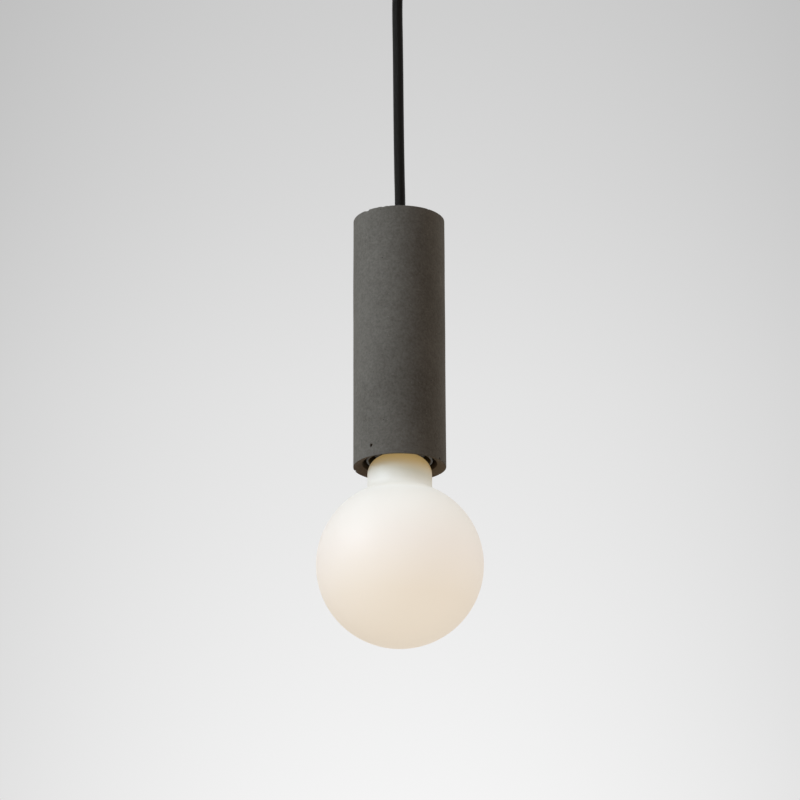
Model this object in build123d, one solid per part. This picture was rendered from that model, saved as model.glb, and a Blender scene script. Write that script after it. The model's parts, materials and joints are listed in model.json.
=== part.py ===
from build123d import *
import math
import os

# Pendant lamp, in millimetres. The ceiling is the plane z = 0 and the lamp hangs below it on the Z axis.

# Overall sizes
cord_drop = 225.0            # underside of the canopy to the top of the concrete body
cord_diameter = 7.5
body_diameter = 70.0
body_height = 198.5
bulb_diameter = 125.0
canopy_diameter = 100.0
canopy_height = 30.0

# Clearances
slip = 0.1                   # radial, between pieces that thread or drop into each other
moving_gap = 0.3             # between pieces that move against each other
cord_play = 0.25             # radial, round the cord in a bore

# Concrete body
body_roof = 20.0
body_edge_radius = 0.35
mouth_lip = 0.4              # flat ring between the rounded edge and the mouth's cone
mouth_rise = 3.0             # the lower face rises this far towards the bore
recess_diameter = 28.0       # for the ring nut, in the top face
recess_depth = 6.0
rod_hole_play = 0.5          # radial

# Rod, nuts and washers that carry the body
rod_wall = 1.0
ring_nut_diameter = 24.0
ring_nut_height = 4.5
ring_nut_slot = 3.0
ring_nut_slot_depth = 1.5
washer_diameter = 30.0
rubber_washer_thickness = 2.0
steel_washer_thickness = 2.0
under_nut_wall = 3.5         # hole to flat
under_nut_height = 6.0
bush_flange = 2.0            # radial, past the rod
bush_height = 2.5

# Lampholder
skirt_recess = 4.7           # skirt's rim above the body's lower face
skirt_diameter = 50.4
skirt_gap = 2.6              # radial, skirt to the body's bore
skirt_wall = 2.0
skirt_overlap = 10.0         # skirt's upper end past the dome's lower rim
ledge_width = 3.3            # inside the skirt, under the insert's flange
ledge_thickness = 2.0
insert_setback = 5.3         # insert's lower face above the skirt's rim
insert_height = 42.0
insert_flange = 6.0
shell_bore_radius = 13.3     # plain bore of the lampholder's thread
shell_wall = 0.5
shell_length = 22.0
shell_setback = 0.5
contact_depth = 25.3         # centre contact above the insert's lower face
contact_radius = 5.5
contact_thickness = 0.8
contact_stem_radius = 1.5
contact_recess = 2.0         # free height above the centre contact
contact_room = 1.0           # round the centre contact
strip_margin = 0.5           # strip past the contact's stem
shell_tab = 4.0              # width of the tab that rises from the shell to its post
dome_wall = 1.5
dome_height = 38.0
dome_edge_radius = 4.0
dome_neck_radius = 9.0
dome_neck_height = 10.0
grub_radius = 2.0
rod_end_drop = 8.5           # rod's lower end below the dome's roof
grip_wall = 3.5
grip_height = 16.0
grip_top_gap = 0.5
grip_screw_radius = 2.0
grip_screw_head = 3.5        # length outside the grip
cord_tail = 4.0              # cord below the grip
post_radius = 3.4
post_height = 7.0
post_screw_radius = 1.3
post_screw_head_radius = 2.4
post_screw_head = 1.8
earth_screw_room = 0.5       # between the lampholder's earth screw and the strain relief
core_diameter = 2.2
core_spread = 1.9            # cores from the axis of the cord
core_bend = 2.0              # centreline radius of a bend in a core
core_drop = 3.5              # straight stretch below the cord's end

# Bulb
bulb_wall = 1.0
neck_diameter = 48.6
neck_length = 9.25           # straight part of the neck
neck_fillet = 5.0
shoulder_radius = 14.3
cap_radius = 12.9            # over the plain sleeve that stands for the thread
cap_wall = 0.4
cap_sleeve = 20.0
cap_length = 27.0            # rim to the tip of the contact
cap_cone = 3.0
tip_radius = 8.0
button_radius = 4.8
button_height = 1.5
stem_radius = 6.0
stem_length = 34.0
filament_count = 4
filament_radius = 1.3
filament_length = 38.0
filament_ring = 13.0
support_radius = 0.7
support_bead = 1.0           # radius of the weld at each end of a filament
board_width = 17.0
board_height = 17.0
board_thickness = 1.6
component_rise = 3.0         # parts on the board above its lower edge
chip_width = 8.0
chip_height = 6.0
chip_thickness = 1.5
capacitor_radius = 3.5
capacitor_height = 9.0

# Ceiling end
canopy_wall = 1.0
canopy_edge_radius = 4.0
bracket_width = 20.0
bracket_thickness = 1.5
bracket_tab = 16.0           # drop of the bent tabs
bracket_play = 0.8           # tab corners to the cup
screw_spacing = 60.0         # ceiling screws
slot_width = 5.0
slot_length = 12.0
side_screw_radius = 2.0
side_screw_height = 10.0     # below the ceiling
side_screw_head_radius = 3.6
side_screw_head = 2.2
side_screw_tail = 2.0        # past the tab
screw_slot = 1.0             # width and depth of a screwdriver slot
block_length = 20.0
block_width = 17.0
block_height = 13.0
pole_spacing = 10.0
sleeve_wall = 0.9
sleeve_play = 0.7            # round a core
sleeve_length = 15.0
terminal_screw_radius = 1.4
terminal_screw_spacing = 8.0
terminal_screw_sink = 1.0
block_screw_radius = 1.4
block_screw_head_radius = 2.4
block_screw_head = 1.6
earth_screw_radius = 2.0
earth_head_radius = 3.4
earth_head = 2.4
tag_thickness = 0.8
tag_radius = 4.0
tag_barrel = 5.0
tag_neck = 2.0               # width between the eye and the barrel
core_end_gap = 0.5           # core's end to the nearest terminal screw
core_rise = 6.5              # cord's end below the terminal block
core_run = 6.5               # cores pass in front of and behind the block at this distance
gland_thread_wall = 2.2
gland_flange_radius = 11.0
gland_flange = 5.0
gland_length = 24.0          # below the canopy
gland_lip = 1.6              # wall at the mouth
gland_thread = 6.0           # above the canopy's floor
locknut_wall = 3.5
locknut_height = 4.0
gland_screw_radius = 1.6
gland_screw_depth = 4.0      # screw's axis below the canopy
gland_screw_head = 2.0
grip_length = 8.5            # gripped cord below the canopy
pivot_depth = 6.0            # the swing's pivot above the gland's mouth
swing_limit = 25.0           # degrees
flare_margin = 2.0           # degrees that the mouth opens past the swing

# Heights
canopy_floor = -canopy_height
body_top = canopy_floor - cord_drop
body_bottom = body_top - body_height
roof_under = body_top - body_roof
gland_mouth = canopy_floor - gland_length
pivot = gland_mouth + pivot_depth

# Radii
cord_radius = cord_diameter / 2
rod_bore = cord_radius + cord_play
rod_radius = rod_bore + rod_wall
body_radius = body_diameter / 2
skirt_radius = skirt_diameter / 2
skirt_bore = skirt_radius - skirt_wall
body_bore = skirt_radius + skirt_gap
insert_radius = skirt_bore - ledge_width - slip
dome_radius = skirt_bore - slip
shell_radius = shell_bore_radius + shell_wall
neck_radius = neck_diameter / 2
globe_radius = bulb_diameter / 2
canopy_radius = canopy_diameter / 2

# Heights in the lampholder and the bulb
skirt_rim = body_bottom + skirt_recess
insert_low = skirt_rim + insert_setback
insert_top = insert_low + insert_height
flange_low = insert_top - insert_flange
shell_low = insert_low + shell_setback
shell_top = shell_low + shell_length
contact_low = insert_low + contact_depth
recess_top = contact_low + contact_thickness + contact_recess
dome_top = insert_top + dome_height
dome_roof = dome_top - dome_wall
rod_low = dome_roof - rod_end_drop
grip_top = dome_roof - grip_top_gap
grip_low = grip_top - grip_height
cord_end = grip_low - cord_tail
core_turn = cord_end - core_drop
post_top = insert_top + contact_thickness + post_height
bulb_tip = contact_low - moving_gap
cap_rim = bulb_tip - cap_length
shoulder_centre = neck_radius - shoulder_radius
neck_top = cap_rim - math.sqrt(shoulder_radius**2 - (cap_radius - shoulder_centre)**2)
neck_low = neck_top - neck_length
fillet_reach = neck_radius + neck_fillet
globe_centre = neck_low - math.sqrt((globe_radius + neck_fillet)**2 - fillet_reach**2)

# Places at the ceiling end
thread_radius = cord_radius + moving_gap + gland_thread_wall
tab_face = math.sqrt((canopy_radius - canopy_wall - bracket_play)**2 - (bracket_width / 2)**2)
block_low = -bracket_thickness - block_height
pole_height = -bracket_thickness - block_height / 2
sleeve_bore = core_diameter / 2 + sleeve_play
sleeve_radius = sleeve_bore + sleeve_wall
screw_tip = pole_height - core_diameter / 2
earth_x = -(block_length / 2 + screw_spacing / 2 - slot_length / 2) / 2
tag_end = tag_radius + tag_barrel
crimp_axis = -bracket_thickness - core_diameter / 2
cord_top_end = block_low - core_rise
core_level = cord_top_end + core_drop
grip_end = canopy_floor - grip_length

# Places on the rod and in the lampholder
rod_top = body_top - recess_depth + ring_nut_height
bush_top = rod_top + bush_height
grip_radius = rod_radius + slip + grip_wall
earth_screw_reach = grip_radius + earth_head_radius + earth_screw_room
post_reach = min(shell_bore_radius + shell_wall / 2, dome_radius - dome_wall - post_radius - slip)
dome_rounding = min(dome_edge_radius, dome_radius - earth_screw_reach - earth_head_radius - slip)

nodes = {}


def disc(radius, low, high, x=0.0, y=0.0):
    """Upright cylinder between two heights."""
    upright = (Align.CENTER, Align.CENTER, Align.MIN)
    return Pos(x, y, low) * Cylinder(radius, high - low, align=upright)


def ring(outer, inner, low, high, x=0.0, y=0.0):
    """Upright tube between two heights, from its two radii."""
    return disc(outer, low, high, x, y) - disc(inner, low, high, x, y)


def bar(radius, start, end):
    """Straight round bar between two points."""
    run = Vector(*end) - Vector(*start)
    upright = (Align.CENTER, Align.CENTER, Align.MIN)
    return Plane(origin=start, z_dir=run) * Cylinder(radius, run.length, align=upright)


def block(low, high):
    """Box from its lowest to its highest corner."""
    size = [b - a for a, b in zip(low, high)]
    return Pos(*low) * Box(*size, align=(Align.MIN, Align.MIN, Align.MIN))


def turned(outline):
    """Solid of revolution about Z from a closed outline of (radius, height) corners."""
    corners = [(radius, 0, height) for radius, height in outline]
    return revolve(make_face(Polyline(*corners, close=True)), Axis.Z)


def hexagon(flat_radius, hole, low, high):
    """Hexagon nut on the Z axis: half its width across flats, and its hole's radius."""
    prism = extrude(RegularPolygon(flat_radius, 6, major_radius=False), high - low)
    return Pos(0, 0, low) * prism - disc(hole, low, high)


def rounded(solid, edge_radius, height, rounding):
    """Rounds the circular edges of one radius at one height."""
    rims = solid.edges().filter_by(GeomType.CIRCLE)
    chosen = [e for e in rims if abs(e.radius - edge_radius) < 0.001 and abs(e.arc_center.Z - height) < 0.001]
    return fillet(chosen, rounding)


def wire(points):
    """Insulated core: a round wire along straight runs joined by tangent bends."""
    path = FilletPolyline(*points, radius=core_bend)
    section = Plane(origin=points[0], z_dir=path % 0) * Circle(core_diameter / 2)
    return sweep(section, path=path)


def build_canopy():
    """Cup that covers the connections, its rim on the ceiling, and the screws through its side."""
    cup = disc(canopy_radius, canopy_floor, 0)
    cup = rounded(cup, canopy_radius, canopy_floor, canopy_edge_radius)
    inner = disc(canopy_radius - canopy_wall, canopy_floor + canopy_wall, 0)
    inner_edge = canopy_edge_radius - canopy_wall
    cup -= rounded(inner, canopy_radius - canopy_wall, canopy_floor + canopy_wall, inner_edge)
    cup -= disc(thread_radius + slip, canopy_floor, 0)
    side_hole = side_screw_radius + slip
    cup -= bar(side_hole, (-canopy_radius, 0, -side_screw_height), (canopy_radius, 0, -side_screw_height))
    nodes["canopy_cup"] = cup
    screws = []
    for side in (-1, 1):
        face = side * canopy_radius
        tip = side * (tab_face - bracket_thickness - side_screw_tail)
        outside = face + side * side_screw_head
        shank = bar(side_screw_radius, (face, 0, -side_screw_height), (tip, 0, -side_screw_height))
        head = bar(side_screw_head_radius, (face, 0, -side_screw_height), (outside, 0, -side_screw_height))
        near, far = sorted((outside, outside - side * screw_slot))
        slot = block((near, -side_screw_head_radius, -side_screw_height - screw_slot / 2),
                     (far, side_screw_head_radius, -side_screw_height + screw_slot / 2))
        screws.append(shank + head - slot)
    nodes["canopy_screws"] = Compound(children=screws)


def build_bracket():
    """Steel strap on the ceiling with two screw slots and a bent tab at each end."""
    half = bracket_width / 2
    strap = block((-tab_face, -half, -bracket_thickness), (tab_face, half, 0))
    for side in (-1, 1):
        inner, outer = sorted((side * (tab_face - bracket_thickness), side * tab_face))
        strap += block((inner, -half, -bracket_tab), (outer, half, 0))
        slot = SlotOverall(slot_length, slot_width)
        strap -= Pos(side * screw_spacing / 2, 0, -bracket_thickness) * extrude(slot, bracket_thickness)
    tapped = side_screw_radius + slip
    strap -= bar(tapped, (-tab_face, 0, -side_screw_height), (tab_face, 0, -side_screw_height))
    strap -= disc(earth_screw_radius + slip, -bracket_thickness, 0, earth_x)
    strap -= disc(block_screw_radius + slip, -bracket_thickness, 0)
    nodes["ceiling_bracket"] = strap


def build_connector():
    """Two-pole terminal block under the bracket, with its sleeves and screws."""
    half_length, half_width = block_length / 2, block_width / 2
    body = block((-half_length, -half_width, block_low), (half_length, half_width, -bracket_thickness))
    sleeves = []
    screws = []
    for side in (-1, 1):
        x = side * pole_spacing / 2
        ends = ((x, -sleeve_length / 2, pole_height), (x, sleeve_length / 2, pole_height))
        through = ((x, -half_width, pole_height), (x, half_width, pole_height))
        body -= bar(sleeve_radius + slip, *ends)
        body -= bar(sleeve_bore, *through)
        sleeve = bar(sleeve_radius, *ends) - bar(sleeve_bore, *ends)
        for y in (-terminal_screw_spacing / 2, terminal_screw_spacing / 2):
            well = disc(terminal_screw_radius + slip, block_low, pole_height, x, y)
            body -= well
            sleeve -= well
            screws.append(disc(terminal_screw_radius, block_low + terminal_screw_sink, screw_tip, x, y))
        sleeves.append(sleeve)
    head_top = block_low + block_screw_head
    body -= disc(block_screw_radius + slip, block_low, -bracket_thickness)
    body -= disc(block_screw_head_radius + slip, block_low, head_top)
    nodes["terminal_block"] = body
    nodes["terminal_sleeves"] = Compound(children=sleeves)
    nodes["terminal_screws"] = Compound(children=screws)
    head = disc(block_screw_head_radius, block_low, head_top)
    nodes["terminal_block_screw"] = head + disc(block_screw_radius, head_top, 0)


def build_ceiling_earth():
    """Earth screw in the bracket and the tag under its head."""
    tag_low = -bracket_thickness - tag_thickness
    shank = disc(earth_screw_radius, tag_low, 0, earth_x)
    nodes["earth_screw"] = shank + disc(earth_head_radius, tag_low - earth_head, tag_low, earth_x)
    eye = ring(tag_radius, earth_screw_radius + slip, tag_low, -bracket_thickness, earth_x)
    eye_edge = earth_screw_radius + slip
    neck = block((earth_x - tag_neck / 2, eye_edge, tag_low),
                 (earth_x + tag_neck / 2, tag_end, -bracket_thickness))
    neck -= disc(eye_edge, tag_low, -bracket_thickness, earth_x)
    barrel = bar(core_diameter / 2, (earth_x, tag_radius, crimp_axis), (earth_x, tag_end, crimp_axis))
    nodes["earth_tag"] = eye + neck + barrel


def build_ceiling_cores():
    """The cord's three cores, from its cut end to the terminal block and the earth tag."""
    front = -block_width / 2 - core_run
    back = block_width / 2 + core_run
    inside = -terminal_screw_spacing / 2 - terminal_screw_radius - core_end_gap
    for name, side in (("live_core_top", -1), ("neutral_core_top", 1)):
        x = side * pole_spacing / 2
        start_x = side * core_spread * math.cos(math.radians(30))
        start_y = -core_spread / 2
        nodes[name] = wire([(start_x, start_y, cord_top_end), (start_x, start_y, core_level),
                            (x, front, core_level), (x, front, pole_height), (x, inside, pole_height)])
    nodes["earth_core_top"] = wire([(0, core_spread, cord_top_end), (0, core_spread, core_level),
                                    (0, back, core_level), (earth_x, back, core_level),
                                    (earth_x, back, crimp_axis), (earth_x, tag_end, crimp_axis)])


def build_gland():
    """Cord grip through the canopy's floor: a threaded body with a bell mouth, its nut and its screw."""
    bore = cord_radius + moving_gap
    throat = cord_radius / math.cos(math.radians(swing_limit)) + moving_gap
    throat_top = pivot + cord_radius * math.sin(math.radians(swing_limit)) + moving_gap
    mouth = throat + pivot_depth * math.tan(math.radians(swing_limit + flare_margin))
    thread_top = canopy_floor + canopy_wall + gland_thread
    flange_low = canopy_floor - gland_flange
    body = turned([(bore, thread_top), (thread_radius, thread_top), (thread_radius, canopy_floor),
                   (gland_flange_radius, canopy_floor), (gland_flange_radius, flange_low),
                   (mouth + gland_lip, gland_mouth), (mouth, gland_mouth), (throat, pivot),
                   (throat, throat_top), (bore, throat_top)])
    axis = canopy_floor - gland_screw_depth
    hole = gland_screw_radius + slip
    body -= bar(hole, (0, -gland_flange_radius, axis), (0, 0, axis))
    nodes["gland_body"] = body
    nut_low = canopy_floor + canopy_wall
    nut_radius = thread_radius + slip
    nut_top = nut_low + locknut_height
    nodes["gland_locknut"] = hexagon(nut_radius + locknut_wall, nut_radius, nut_low, nut_top)
    head = -gland_flange_radius - gland_screw_head
    nodes["gland_screw"] = bar(gland_screw_radius, (0, head, axis), (0, -cord_radius - slip, axis))


def build_cord():
    """One cord in four lengths: gripped at the ceiling, twisting in the gland, hanging, and in the rod."""
    nodes["cord_in_canopy"] = disc(cord_radius, grip_end, cord_top_end)
    nodes["cord_top"] = disc(cord_radius, pivot + cord_radius + moving_gap, grip_end - moving_gap)
    free = disc(cord_radius, bush_top, pivot) + Pos(0, 0, pivot) * Sphere(cord_radius)
    nodes["cord"] = free
    nodes["cord_inside"] = disc(cord_radius, cord_end, bush_top)
    straight = math.pi * cord_radius**2 * (pivot - bush_top) + 2 / 3 * math.pi * cord_radius**3
    print("cord: straight, volume", round(free.volume, 1), "section times length", round(straight, 1))


def build_concrete_body():
    """Concrete tube with a roof, a hole for the rod, a recess for the ring nut and a cone at its mouth."""
    body = disc(body_radius, body_bottom, body_top) - disc(body_bore, body_bottom, roof_under)
    rounding = min(body_edge_radius, 0.45 * (body_radius - body_bore))
    for height in (body_top, body_bottom):
        body = rounded(body, body_radius, height, rounding)
    mouth_top = body_bottom + mouth_rise
    body -= turned([(0, body_bottom), (body_radius - rounding - mouth_lip, body_bottom), (body_bore, mouth_top),
                    (0, mouth_top)])
    body -= disc(rod_radius + rod_hole_play, roof_under, body_top)
    body -= disc(recess_diameter / 2, body_top - recess_depth, body_top)
    nodes["concrete_body"] = body


def build_rod():
    """Hollow rod through the body's roof with the nuts, washers and bush on it."""
    hole = rod_radius + slip
    nodes["threaded_rod"] = ring(rod_radius, rod_bore, rod_low, rod_top)
    nut = ring(ring_nut_diameter / 2, hole, body_top - recess_depth, rod_top)
    slot_low = rod_top - ring_nut_slot_depth
    reach = ring_nut_diameter / 2
    nut -= block((-reach, -ring_nut_slot / 2, slot_low), (reach, ring_nut_slot / 2, rod_top))
    nodes["ring_nut"] = nut
    rubber_low = roof_under - rubber_washer_thickness
    steel_low = rubber_low - steel_washer_thickness
    nodes["rubber_washer"] = ring(washer_diameter / 2, hole, rubber_low, roof_under)
    nodes["steel_washer"] = ring(washer_diameter / 2, hole, steel_low, rubber_low)
    nodes["under_nut"] = hexagon(hole + under_nut_wall, hole, steel_low - under_nut_height, steel_low)
    bush = ring(rod_radius + bush_flange, cord_radius + slip, rod_top, bush_top)
    nodes["cord_bush"] = rounded(bush, rod_radius + bush_flange, bush_top, bush_height / 2)


def build_lampholder():
    """Lampholder: dome on the rod, insert under it, and the skirt that holds the two together."""
    dome = rounded(disc(dome_radius, insert_top, dome_top), dome_radius, dome_top, dome_rounding)
    inner = disc(dome_radius - dome_wall, insert_top, dome_roof)
    inner = rounded(inner, dome_radius - dome_wall, dome_roof, dome_rounding - dome_wall)
    neck_top_height = dome_top + dome_neck_height
    dome = dome - inner + disc(dome_neck_radius, dome_top, neck_top_height)
    dome -= disc(rod_radius + slip, dome_roof, neck_top_height)
    grub_axis = dome_top + dome_neck_height / 2
    dome -= bar(grub_radius + slip, (0, 0, grub_axis), (dome_neck_radius + 1, 0, grub_axis))
    dome -= disc(earth_screw_radius + slip, dome_roof, dome_top, 0, earth_screw_reach)
    nodes["lampholder_dome"] = dome
    nodes["dome_grub_screw"] = bar(grub_radius, (rod_radius, 0, grub_axis), (dome_neck_radius, 0, grub_axis))
    shank = disc(earth_screw_radius, dome_roof, dome_top, 0, earth_screw_reach)
    head = disc(earth_head_radius, dome_roof - earth_head, dome_roof, 0, earth_screw_reach)
    nodes["dome_earth_screw"] = shank + head

    skirt = ring(skirt_radius, skirt_bore, skirt_rim, insert_top + skirt_overlap)
    skirt += ring(skirt_bore, skirt_bore - ledge_width, flange_low - ledge_thickness, flange_low)
    nodes["lampholder_skirt"] = rounded(skirt, skirt_radius, insert_top + skirt_overlap, skirt_wall / 2)

    insert = disc(insert_radius, insert_low, flange_low) + disc(dome_radius, flange_low, insert_top)
    insert -= disc(shell_radius + slip, insert_low, shell_top)
    insert -= disc(contact_radius + contact_room, shell_top, recess_top)
    insert -= disc(contact_stem_radius + slip, recess_top, insert_top)
    tab_half = shell_tab / 2 + slip
    insert -= block((shell_bore_radius - slip, -tab_half, shell_top),
                    (shell_radius + slip, tab_half, insert_top))
    nodes["lampholder_insert"] = insert


def build_contacts():
    """Thread shell and centre contact of the lampholder, with the posts that the cores end in."""
    shell = ring(shell_radius, shell_bore_radius, shell_low, shell_top)
    tab_half = shell_tab / 2
    tab = block((shell_bore_radius, -tab_half, shell_top), (shell_radius, tab_half, insert_top))
    nodes["screw_shell"] = shell + tab
    contact = disc(contact_radius, contact_low, contact_low + contact_thickness)
    contact += disc(contact_stem_radius, contact_low, insert_top + contact_thickness)
    strip_half = contact_stem_radius + strip_margin
    strip_top = insert_top + contact_thickness
    contact += block((-post_reach - strip_half, -strip_half, insert_top), (strip_half, strip_half, strip_top))
    nodes["centre_contact"] = contact
    posts = []
    screws = []
    for side, foot in ((-1, strip_top), (1, insert_top)):
        x = side * post_reach
        axis = (post_top + strip_top) / 2
        post = disc(post_radius, foot, post_top, x)
        post -= bar(post_screw_radius + slip, (x, -post_radius, axis), (x, 0, axis))
        posts.append(post)
        face = -post_radius
        shank = bar(post_screw_radius, (x, face, axis), (x, -slip, axis))
        head = bar(post_screw_head_radius, (x, face - post_screw_head, axis), (x, face, axis))
        screws.append(shank + head)
    nodes["terminal_posts"] = Compound(children=posts)
    nodes["post_screws"] = Compound(children=screws)


def build_lamp_cores():
    """Strain relief on the rod's lower end, and the three cores from the cord's end to their terminals."""
    grip = disc(grip_radius, grip_low, grip_top)
    grip -= disc(rod_radius + slip, rod_low, grip_top)
    grip -= disc(cord_radius + slip, grip_low, rod_low)
    axis = (grip_low + rod_low) / 2
    grip -= bar(grip_screw_radius + slip, (0, 0, axis), (grip_radius, 0, axis))
    nodes["cord_grip"] = grip
    screw_end = grip_radius + grip_screw_head
    nodes["cord_grip_screw"] = bar(grip_screw_radius, (cord_radius + slip, 0, axis), (screw_end, 0, axis))
    for name, side in (("live_core", -1), ("neutral_core", 1)):
        start_x = side * core_spread * math.cos(math.radians(30))
        start_y = -core_spread / 2
        nodes[name] = wire([(start_x, start_y, cord_end), (start_x, start_y, core_turn),
                            (side * post_reach, 0, core_turn), (side * post_reach, 0, post_top)])
    nodes["earth_core"] = wire([(0, core_spread, cord_end), (0, core_spread, core_turn),
                                (0, earth_screw_reach, core_turn),
                                (0, earth_screw_reach, dome_roof - earth_head)])


def globe_section(inset):
    """Half section of the globe, shoulder and neck, inset from the outer face of the glass."""
    shoulder = shoulder_radius - inset
    neck = neck_radius - inset
    ball = globe_radius - inset
    crown = neck_top + shoulder
    foot = globe_centre - ball
    lean = math.atan2(fillet_reach, neck_low - globe_centre)
    joint = (ball * math.sin(lean), globe_centre + ball * math.cos(lean))
    bend = neck_fillet + inset
    half_turn = math.pi + lean / 2 + math.pi / 4
    middle = (fillet_reach + bend * math.sin(half_turn), neck_low + bend * math.cos(half_turn))
    diagonal = shoulder * math.sqrt(0.5)
    half_ball = (lean + math.pi) / 2
    side = (ball * math.sin(half_ball), globe_centre + ball * math.cos(half_ball))

    def at(radius, height):
        return Vector(radius, 0, height)

    edges = [
        Line(at(0, foot), at(0, crown)),
        Line(at(0, crown), at(shoulder_centre, crown)),
        ThreePointArc(at(shoulder_centre, crown), at(shoulder_centre + diagonal, neck_top + diagonal),
                      at(neck, neck_top)),
        Line(at(neck, neck_top), at(neck, neck_low)),
        ThreePointArc(at(neck, neck_low), at(*middle), at(*joint)),
        ThreePointArc(at(*joint), at(*side), at(0, foot)),
    ]
    return make_face(edges)


def build_bulb():
    """Opal globe bulb: glass, screw cap with its tip, and the light source on its stem."""
    glass = revolve(globe_section(0), Axis.Z) - revolve(globe_section(bulb_wall), Axis.Z)
    glass -= disc(globe_radius, cap_rim, cap_rim + shoulder_radius)
    mouth = cap_radius - cap_wall - bulb_wall
    glass -= disc(mouth, neck_top, cap_rim + shoulder_radius)
    nodes["bulb_globe"] = glass

    sleeve_top = cap_rim + cap_sleeve
    cone_top = sleeve_top + cap_cone
    nodes["bulb_cap"] = turned([(cap_radius - cap_wall, cap_rim), (cap_radius, cap_rim),
                                (cap_radius, sleeve_top), (tip_radius, cone_top),
                                (tip_radius - cap_wall, cone_top), (cap_radius - cap_wall, sleeve_top)])
    button_low = bulb_tip - button_height
    insulator_low = cone_top + slip
    nodes["bulb_cap_insulator"] = turned([(0, insulator_low), (tip_radius, insulator_low),
                                          (button_radius, button_low), (0, button_low)])
    nodes["bulb_contact"] = disc(button_radius, button_low, bulb_tip)

    stem_low = cap_rim - stem_length
    stem = disc(stem_radius, stem_low + stem_radius, cap_rim)
    stem += Pos(0, 0, stem_low + stem_radius) * Sphere(stem_radius)
    foot_radius = mouth - slip
    stem += turned([(0, cap_rim), (foot_radius, cap_rim), (stem_radius, cap_rim - stem_radius),
                    (0, cap_rim - stem_radius)])
    filament_top = stem_low - support_radius
    filament_low = filament_top - filament_length
    crown = bar(support_radius, (0, 0, stem_low), (0, 0, filament_low))
    filaments = []
    for number in range(filament_count):
        turn = 2 * math.pi * (number + 0.5) / filament_count
        x, y = filament_ring * math.cos(turn), filament_ring * math.sin(turn)
        for height in (filament_top, filament_low):
            crown += bar(support_radius, (0, 0, height), (x, y, height))
            crown += Pos(x, y, height) * Sphere(support_bead)
        filament = disc(filament_radius, filament_low + support_bead, filament_top - support_bead, x, y)
        filaments.append(filament)
    nodes["bulb_stem"] = stem
    nodes["filament_supports"] = crown - stem
    nodes["led_filaments"] = Compound(children=filaments)

    board_low = cap_rim + board_thickness
    half_width, half_thick = board_width / 2, board_thickness / 2
    board = block((-half_width, -half_thick, board_low), (half_width, half_thick, board_low + board_height))
    centre = half_thick + capacitor_radius - slip
    component_low = board_low + component_rise
    board += disc(capacitor_radius, component_low, component_low + capacitor_height, 0, centre)
    board += block((-chip_width / 2, -half_thick - chip_thickness, component_low),
                   (chip_width / 2, -half_thick, component_low + chip_height))
    nodes["driver_board"] = board


build_canopy()
build_bracket()
build_connector()
build_ceiling_earth()
build_ceiling_cores()
build_gland()
build_cord()
build_concrete_body()
build_rod()
build_lampholder()
build_contacts()
build_lamp_cores()
build_bulb()

os.makedirs("parts", exist_ok=True)
for node_name, solid in nodes.items():
    export_step(solid, f"parts/{node_name}.step")
print(len(nodes), "nodes; bulb centre", round(body_bottom - globe_centre, 2), "below the body's lower face")
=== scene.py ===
import json
import math

import bmesh
import bpy
import numpy as np
from mathutils import Matrix, Vector


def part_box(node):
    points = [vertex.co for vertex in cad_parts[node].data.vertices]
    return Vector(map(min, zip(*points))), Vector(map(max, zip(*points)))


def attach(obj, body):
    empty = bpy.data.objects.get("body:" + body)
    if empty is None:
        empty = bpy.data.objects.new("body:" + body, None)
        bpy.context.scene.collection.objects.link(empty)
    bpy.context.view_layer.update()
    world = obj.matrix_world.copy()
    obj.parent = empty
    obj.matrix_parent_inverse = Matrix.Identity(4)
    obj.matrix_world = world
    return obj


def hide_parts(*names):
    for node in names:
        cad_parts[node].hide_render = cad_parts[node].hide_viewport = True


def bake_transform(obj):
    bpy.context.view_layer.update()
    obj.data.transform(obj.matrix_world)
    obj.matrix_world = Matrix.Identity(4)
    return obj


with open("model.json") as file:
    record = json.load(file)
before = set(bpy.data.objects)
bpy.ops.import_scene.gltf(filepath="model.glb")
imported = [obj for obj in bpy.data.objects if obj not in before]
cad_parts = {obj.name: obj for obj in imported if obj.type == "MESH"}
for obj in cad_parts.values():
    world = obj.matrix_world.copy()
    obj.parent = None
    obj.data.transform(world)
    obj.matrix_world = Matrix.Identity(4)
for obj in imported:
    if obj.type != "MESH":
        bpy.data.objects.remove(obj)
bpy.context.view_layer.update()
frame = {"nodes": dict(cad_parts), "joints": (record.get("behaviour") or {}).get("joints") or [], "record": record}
nodes = frame["nodes"]
record = frame["record"]
scene = bpy.context.scene

MM = 0.001
TURN = 2 * math.pi
NOTHING = 1e-9               # a length that counts as none
UP = np.array([0, 0, 1.0])


# Places and sizes, in millimetres

def lowest(node):
    """Lowest corner of a solid."""
    return np.array(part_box(node)[0]) / MM


def highest(node):
    """Highest corner of a solid."""
    return np.array(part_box(node)[1]) / MM


def span(node):
    """Heights of a solid's lower and upper end."""
    return lowest(node)[2], highest(node)[2]


def joint(name):
    """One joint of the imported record."""
    return next(row for row in frame["joints"] if row["name"] == name)


body_bottom, body_top = span("concrete_body")
body_radius = highest("concrete_body")[0]
body_edge = 0.35             # rounding of the body's outer rims
mouth_lip = 0.4              # flat ring between the rounded edge and the mouth's cone
mouth_rise = 3.0             # the lower face rises this far towards the bore
foot_marks = 12.0            # the marks near the lower rim reach up this far
head_marks = 4.0             # the marks near the upper rim reach this far from it
roof_thickness = 20.0
roof_under = body_top - roof_thickness
recess_radius = 14.0
recess_depth = 6.0
recess_floor = body_top - recess_depth
rod_hole = 5.5

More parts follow.
